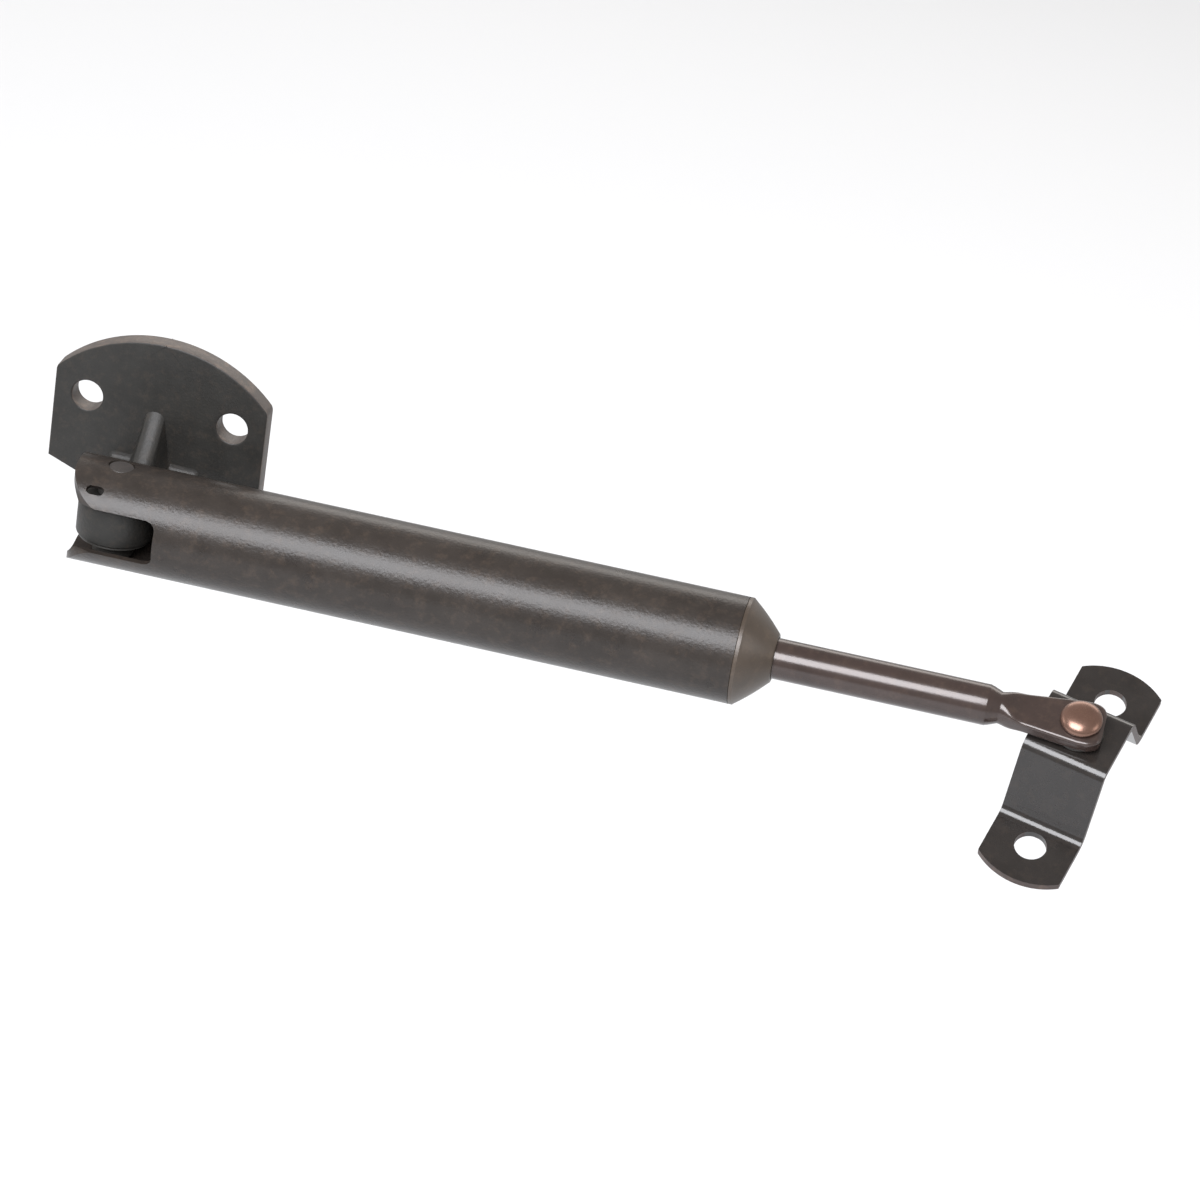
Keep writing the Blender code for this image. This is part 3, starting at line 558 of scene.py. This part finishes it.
def rod_sizes():
    """Half-width, half-thickness and squareness along the rod. From neck to tongue the thickness eases
    down on a smooth step while the width grows in a line; the tip closes on a quarter ellipse."""
    stud = [(ROD_START, 0.0, 2), (ROD_START, STUD_R - 0.0004, 2), (ROD_START + 0.0004, STUD_R, 2),
            (STUD_END, STUD_R, 2), (STUD_END, ROD_R, 2), (STUD_END + 0.0001, ROD_R, 2)]
    bar = [(x, ROD_R, 2) for x in np.linspace(0.19, ROD_SHOULDER - 0.0004, 24)]
    bend = [(ROD_SHOULDER - 0.0001, ROD_R - 0.00003, 2), (ROD_SHOULDER + 0.0002, ROD_R - 0.00020, 2)]
    neck = [(ROD_SHOULDER + (NECK_X - ROD_SHOULDER) * t, ROD_R + (NECK_R - ROD_R) * t, 2)
            for t in np.linspace(0.2, 0.95, 8)]
    stem = [(x, r, r, q) for x, r, q in stud + bar + bend + neck]
    flat = []
    for x in np.linspace(NECK_X, RIVET_X, 44):
        t = np.clip((x - NECK_X) / 0.0085, 0, 1)
        ease = t * t * (3 - 2 * t)
        width = NECK_R + (TONGUE_HALF_W - NECK_R) * (x - NECK_X) / (RIVET_X - NECK_X)
        flat.append((x, width, NECK_R + (TONGUE_HALF_T - NECK_R) * ease, 2 + 4 * ease))
    end_r = 0.0050
    for a in np.radians(np.linspace(0, 90, 22)):
        x = TONGUE_TIP - end_r + end_r * math.sin(a)
        width = TONGUE_HALF_W - end_r * (1 - math.cos(a)) * 0.75
        flat.append((x, width, TONGUE_HALF_T - 0.0007 * max(5 * math.sin(a) - 4, 0), 6))
    flat.append((TONGUE_TIP, 0.0, 0.0, 6))
    return np.array(stem + flat)


def rod_skin():
    """Superellipse rings: cosine and sine raised to two over the squareness."""
    x, half_w, half_t, square = [c[:, None] for c in rod_sizes().T]
    turn = np.linspace(0, math.tau, 160, endpoint=False)[None, :]
    c, s = np.cos(turn), np.sin(turn)
    power = 2 / square
    return np.stack([x + 0 * c, half_w * np.sign(c) * np.abs(c) ** power,
                     half_t * np.sign(s) * np.abs(s) ** power], -1)


bronzed = blacked_steel("rod_bronzed", (0.032, 0.021, 0.018), 0.19, 0.20, 0.20, 0.00001, 0.0006, rust=0.20,
                        specular=0.56)
build_piece("bronzed_rod", [(placed(rod_skin(), ROD_AXIS), True)], "rod", ["piston_rod"],
            bronzed, smooth=40)


# --- rivet and its washer ---------------------------------------------------------------------------
# Coppered steel rivet with a domed head on the tongue and a flat set tail under the saddle, and the
# thin washer between tongue and saddle that it turns on.
RIVET_AXIS = axis_frame(PIN, math.radians(2.0), math.radians(27.0), RIVET_X)
CREST_TOP, STRAP_THICK = -0.0037, 0.0024
HEAD_R, HEAD_H, SHANK_R = 0.0065, 0.0036, 0.003175


def rivet_profile():
    """Head as a quarter ellipse above a short rounded rim, straight shank, and a chamfered tail."""
    seat, tail = TONGUE_HALF_T + RUNNING_GAP, CREST_TOP - STRAP_THICK - RUNNING_GAP
    a = np.radians(np.linspace(0, 90, 26))
    dome = np.stack([seat + 0.0005 + (HEAD_H - 0.0005) * np.sin(a), HEAD_R * np.cos(a)], -1)
    dome[-1, 1] = 0.0
    under = [(tail - 0.0014, 0.0), (tail - 0.0014, 0.0045), (tail - 0.0012, 0.0049), (tail - 0.0008, 0.0052),
             (tail - 0.0001, 0.0052), (tail, 0.0051), (tail, SHANK_R), (seat, SHANK_R),
             (seat, HEAD_R - 0.0003), (seat + 0.00015, HEAD_R - 0.00008)]
    return np.concatenate([under, dome])


coppered = blacked_steel("rivet_coppered", (0.17, 0.098, 0.074), 0.26, 0.80, 0.18, 0.00002, 0.0006, rust=0.15)
build_piece("domed_rivet", [(placed(turned_skin(rivet_profile(), 128, True), RIVET_AXIS), True)],
            "rod", ["saddle_rivet"], coppered, smooth=40)
build_piece("turning_washer", [(placed(turned_skin(lathe_ring(
    CREST_TOP + 0.0003, -TONGUE_HALF_T - 0.0003, 0.0035, 0.0075, 0.00012), 112, True), RIVET_AXIS), True)],
            "rod", ["rivet_washer"], washer_black)


# --- pipe saddle ------------------------------------------------------------------------------------
# Strip steel pressed to a hat section: flat crest under the rivet, two ramps, and two lobes with a bolt
# hole and a bowed end each. Glossy black, thin at the sheared edges.
SADDLE_AXIS = axis_frame(PIN, math.radians(2.0), math.radians(27.0), RIVET_X, math.radians(-13.5))
STRAP_HALF_W, STRAP_HALF_L, STRAP_HEIGHT = 0.0135, 0.0433, 0.0225
LOBE_HOLE_Y, LOBE_HOLE_R, LOBE_END_R = 0.0300, 0.0050, 0.0220
HOLE_WINDOW = 0.0071        # half the square of the lobe that rings fill round its hole
CREST_Y, FOOT_Y, CREST_BEND, FOOT_BEND = 0.0105, 0.0213, 0.0034, 0.0050


def strap_half():
    """Middle line from the crest's middle to the foot bend's end as (y, z, slope): straight, bend, ramp,
    bend. The lobe carries on level from there."""
    mid = CREST_TOP - STRAP_THICK / 2
    slope = math.atan2(STRAP_HEIGHT, FOOT_Y - CREST_Y)
    cut_crest, cut_foot = CREST_BEND * math.tan(slope / 2), FOOT_BEND * math.tan(slope / 2)
    a = np.linspace(0, slope, 11)
    y0, y1 = CREST_Y - cut_crest, FOOT_Y + cut_foot
    crest = np.stack([np.linspace(0, y0, 14), np.full(14, mid), np.zeros(14)], -1)[:-1]
    bend = np.stack([y0 + CREST_BEND * np.sin(a), mid - CREST_BEND * (1 - np.cos(a)), a], -1)
    foot_z = mid - STRAP_HEIGHT
    foot = np.stack([y1 - FOOT_BEND * np.sin(a), foot_z + FOOT_BEND * (1 - np.cos(a)), a], -1)[::-1]
    t = np.linspace(0, 1, 16)[1:-1, None]
    ramp = bend[-1] + (foot[0] - bend[-1]) * t
    return np.concatenate([crest, bend, ramp, foot])


def strap_skin(face):
    """One face of the strap as a grid over half its length: columns run across, rows run along the
    middle line and then along the lobe to its bowed end, moved half a thickness off the middle line."""
    line = strap_half()
    x = np.linspace(-1, 1, 41) * STRAP_HALF_W
    off = face * STRAP_THICK / 2
    y = np.repeat((line[:, 0] + off * np.sin(line[:, 2]))[:, None], len(x), 1)
    z = np.repeat((line[:, 1] + off * np.cos(line[:, 2]))[:, None], len(x), 1)
    end = STRAP_HALF_L - LOBE_END_R + np.sqrt(LOBE_END_R ** 2 - x ** 2)
    t = np.linspace(0, 1, 31)[1:, None]
    y = np.concatenate([y, y[-1] + (end - y[-1]) * t])
    z = np.concatenate([z, z[-1] + 0 * (end * t)])
    return np.stack([np.broadcast_to(x, y.shape), y, z], -1)


def holed(skin, rows, columns, centre, radius, rings=6):
    """Rings that fill a window of a flat part of a skin, from the window's border to a round hole."""
    (r0, r1), (c0, c1) = rows, columns
    border = np.concatenate([skin[r0, c0:c1], skin[r0:r1, c1], skin[r1, c1:c0:-1], skin[r1:r0:-1, c0]])
    ray = border[:, :2] - centre
    edge = centre + ray / np.linalg.norm(ray, axis=1)[:, None] * radius
    t = np.linspace(0, 1, rings)[:, None, None] ** 1.3
    flat = edge + (border[:, :2] - edge) * t
    return np.concatenate([flat, np.broadcast_to(border[:, 2:], flat.shape[:2] + (1,))], -1)


def saddle_patches():
    """Both faces of both halves, the sheared side and end walls, and the holes with their walls."""
    patches = []
    for half in (1, -1):
        skins = []
        for face in (1, -1):
            skin = strap_skin(face)
            level = len(strap_half())
            mid = skin.shape[1] // 2
            step = skin[0, 1, 0] - skin[0, 0, 0]
            near = np.flatnonzero(np.abs(skin[level:, mid, 1] - LOBE_HOLE_Y) < HOLE_WINDOW) + level
            wide = int(round(HOLE_WINDOW / step))
            taken = np.zeros((skin.shape[0] - 1, skin.shape[1] - 1), bool)
            rows, columns = (near[0], near[-1]), (mid - wide, mid + wide)
            taken[rows[0]:rows[1], columns[0]:columns[1]] = True
            lobe = holed(skin, rows, columns, np.array([0.0, LOBE_HOLE_Y]), LOBE_HOLE_R)
            skins.append((skin, taken, lobe))
        for skin, taken, lobe in skins:
            patches += [(skin * (1, half, 1), taken), (lobe * (1, half, 1), True)]
        (upper, _, upper_lobe), (lower, _, lower_lobe) = skins
        walls = [strip(upper[:, 0], lower[:, 0]), strip(upper[:, -1], lower[:, -1]),
                 strip(upper[-1], lower[-1])]
        patches += [wall * (1, half, 1) for wall in walls]
        patches.append((strip(upper_lobe[0], lower_lobe[0]) * (1, half, 1), True))
    return patches


gloss_black = blacked_steel("saddle_gloss_black", (0.014, 0.012, 0.011), 0.16, 0.0, 0.20, 0.00003, 0.0011,
                            rust=0.10, specular=0.43)
sheared_edge = blacked_steel("saddle_sheared_edge", (0.050, 0.036, 0.032), 0.45, 0.1, 0.20, 0.00006, 0.0007,
                             rust=0.5, specular=0.25)


def sheared(middles, normals):
    """True on the side walls and lobe ends, whose normals lie in the strap's own plane or along its width."""
    local = (middles - SADDLE_AXIS[:3, 3]) @ SADDLE_AXIS[:3, :3]
    turned = normals @ SADDLE_AXIS[:3, :3]
    return (np.abs(turned[:, 0]) > 0.7) | ((np.abs(turned[:, 2]) < 0.3) & (np.abs(local[:, 1]) > 0.0345))


build_piece("pressed_saddle", [(placed(p[0], SADDLE_AXIS), p[1]) if isinstance(p, tuple)
                               else placed(p, SADDLE_AXIS) for p in saddle_patches()],
            "saddle", ["saddle_strap"], gloss_black, bevel=0.00035,
            cut_finish=sheared_edge, cut=sheared)


# --- return spring ----------------------------------------------------------------------------------
# Round-wire compression spring between the rear plug and its seat on the piston, end turns closed.
SPRING_START, SPRING_END, WIRE_R, COIL_R, TURNS = 0.0345, 0.1682, 0.0013, 0.0116, 13


def spring_skin():
    """A circle of wire carried along a helix whose pitch is one wire wide over the first and last turn."""
    n = np.linspace(0, TURNS, TURNS * 40 + 1)
    live = np.clip(n - 1, 0, TURNS - 2) / (TURNS - 2)
    closed = np.minimum(n, 1) + np.maximum(n - (TURNS - 1), 0)
    shut = 2.25 * WIRE_R
    x = SPRING_START + WIRE_R + live * (SPRING_END - SPRING_START - 2 * WIRE_R - 2 * shut) + closed * shut
    turn = math.tau * n[:, None]
    b = np.linspace(0, math.tau, 14, endpoint=False)[None, :]
    r = COIL_R + WIRE_R * np.cos(b)
    skin = np.stack([x[:, None] + WIRE_R * np.sin(b), r * np.cos(turn), r * np.sin(turn)], -1)
    ends = [np.broadcast_to(skin[i].mean(0), (1,) + skin[i].shape) for i in (0, -1)]
    return np.concatenate([ends[0], skin, ends[1]])


oiled_wire = blacked_steel("oiled_spring_wire", (0.18, 0.17, 0.16), 0.30, 0.95, 0.08, 0.00001, 0.0005)
spring = build_piece("coil_spring", [(placed(spring_skin(), BARREL_AXIS), True)], "barrel", ["return_spring"],
                     oiled_wire)
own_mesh(spring)


# --- sealed inner pieces ----------------------------------------------------------------------------
# Plug, seals, bush, piston, valve and nut: machined or moulded stock parts, hidden in the closed tube.
# Their own solids are shown, each with the finish of what it is made of.
seal_rubber = blacked_steel("seal_nitrile", (0.018, 0.018, 0.018), 0.62, 0.0, 0.15, 0.00004, 0.0007)
ring_acetal = blacked_steel("piston_ring_acetal", (0.60, 0.55, 0.43), 0.45, 0.0, 0.05, 0.00002, 0.0008)
for node, finish in (("rear_plug", bare_steel), ("rear_o_ring", seal_rubber), ("nose_o_ring", seal_rubber),
                     ("rod_bush", oiled_bronze), ("rod_seal", seal_rubber), ("seal_washer", bare_steel),
                     ("spring_seat", bare_steel), ("piston", bare_steel), ("piston_ring", ring_acetal),
                     ("valve_disc", bare_steel), ("piston_washer", bare_steel), ("rod_nut", bare_steel)):
    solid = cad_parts[node]
    solid.data.materials.clear()
    solid.data.materials.append(finish)


# --- floor, light and camera ------------------------------------------------------------------------
# A pale floor far enough below that the closer's shadow stays soft, one large soft light over the
# camera, one behind the wall plate, one from each side and a surround that fades to grey overhead.
floor_paint = bpy.data.materials.new("pale_floor_paint")
floor_paint.use_nodes = True
paint = floor_paint.node_tree.nodes["Principled BSDF"]
paint.inputs["Base Color"].default_value = (0.67, 0.69, 0.71, 1)
paint.inputs["Roughness"].default_value = 0.9
paint.inputs["Emission Color"].default_value = (1, 1, 1, 1)
paint.inputs["Emission Strength"].default_value = 0.06
floor_z = -0.42
floor_mesh = bpy.data.meshes.new("pale_floor")
half_floor = 6.0
floor_corners = [(-half_floor, -half_floor, floor_z), (half_floor, -half_floor, floor_z),
                 (half_floor, half_floor, floor_z), (-half_floor, half_floor, floor_z)]
floor_mesh.from_pydata(floor_corners, [], [(0, 1, 2, 3)])
floor = bpy.data.objects.new("pale_floor", floor_mesh)
bpy.context.scene.collection.objects.link(floor)
floor_mesh.materials.append(floor_paint)

surround = bpy.data.worlds.new("white_surround")
bpy.context.scene.world = surround
surround.use_nodes = True
sky, sky_links = surround.node_tree.nodes, surround.node_tree.links
height = sky.new("ShaderNodeTexCoord")
split = sky.new("ShaderNodeSeparateXYZ")
sky_links.new(height.outputs["Generated"], split.inputs["Vector"])
fade = sky.new("ShaderNodeValToRGB")
fade.color_ramp.elements[0].position, fade.color_ramp.elements[1].position = 0.40, 0.92
fade.color_ramp.elements[0].color = (0.72, 0.71, 0.70, 1)
fade.color_ramp.elements[1].color = (0.60, 0.56, 0.53, 1)
sky_links.new(split.outputs["Z"], fade.inputs["Fac"])
sky_links.new(fade.outputs["Color"], sky["Background"].inputs["Color"])
sky["Background"].inputs["Strength"].default_value = 1.0


def soft_light(name, place, aim, width, height, power, colour):
    """A rectangular soft box at a place, turned to face a point, its width level."""
    lamp = bpy.data.lights.new(name, "AREA")
    lamp.shape, lamp.size, lamp.size_y, lamp.energy, lamp.color = "RECTANGLE", width, height, power, colour
    box = bpy.data.objects.new(name, lamp)
    bpy.context.scene.collection.objects.link(box)
    back = Vector(place) - Vector(aim)
    box.matrix_world = Matrix.Translation(place) @ back.to_track_quat("Z", "Y").to_matrix().to_4x4()


middle = (0.13, -0.03, -0.01)
soft_light("long_box_over_camera", (-0.13, -1.20, 1.05), middle, 1.3, 0.95, 60.0, (0.95, 0.96, 1.0))
soft_light("back_box", (0.15, 1.70, 0.95), middle, 2.2, 0.7, 14.0, (1.0, 0.95, 0.90))
soft_light("left_box", (-1.5, -0.2, 0.4), middle, 0.7, 0.7, 4.0, (1.0, 0.98, 0.96))
soft_light("right_box", (1.7, -0.3, 0.5), middle, 0.7, 0.7, 4.0, (1.0, 0.98, 0.96))

camera_data = bpy.data.cameras.new("camera")
camera_data.lens, camera_data.sensor_width = 150.0, 36.0
camera_data.clip_start, camera_data.clip_end = 0.05, 50.0
camera = bpy.data.objects.new("camera", camera_data)
bpy.context.scene.collection.objects.link(camera)
camera_place = Vector((0.373426, -1.370582, 0.683693))
camera_turn = Euler([math.radians(angle) for angle in (62.4557, -7.9539, 13.5414)])
camera.matrix_world = Matrix.LocRotScale(camera_place, camera_turn, None)
bpy.context.scene.camera = camera
bpy.context.scene.view_settings.view_transform = "Standard"
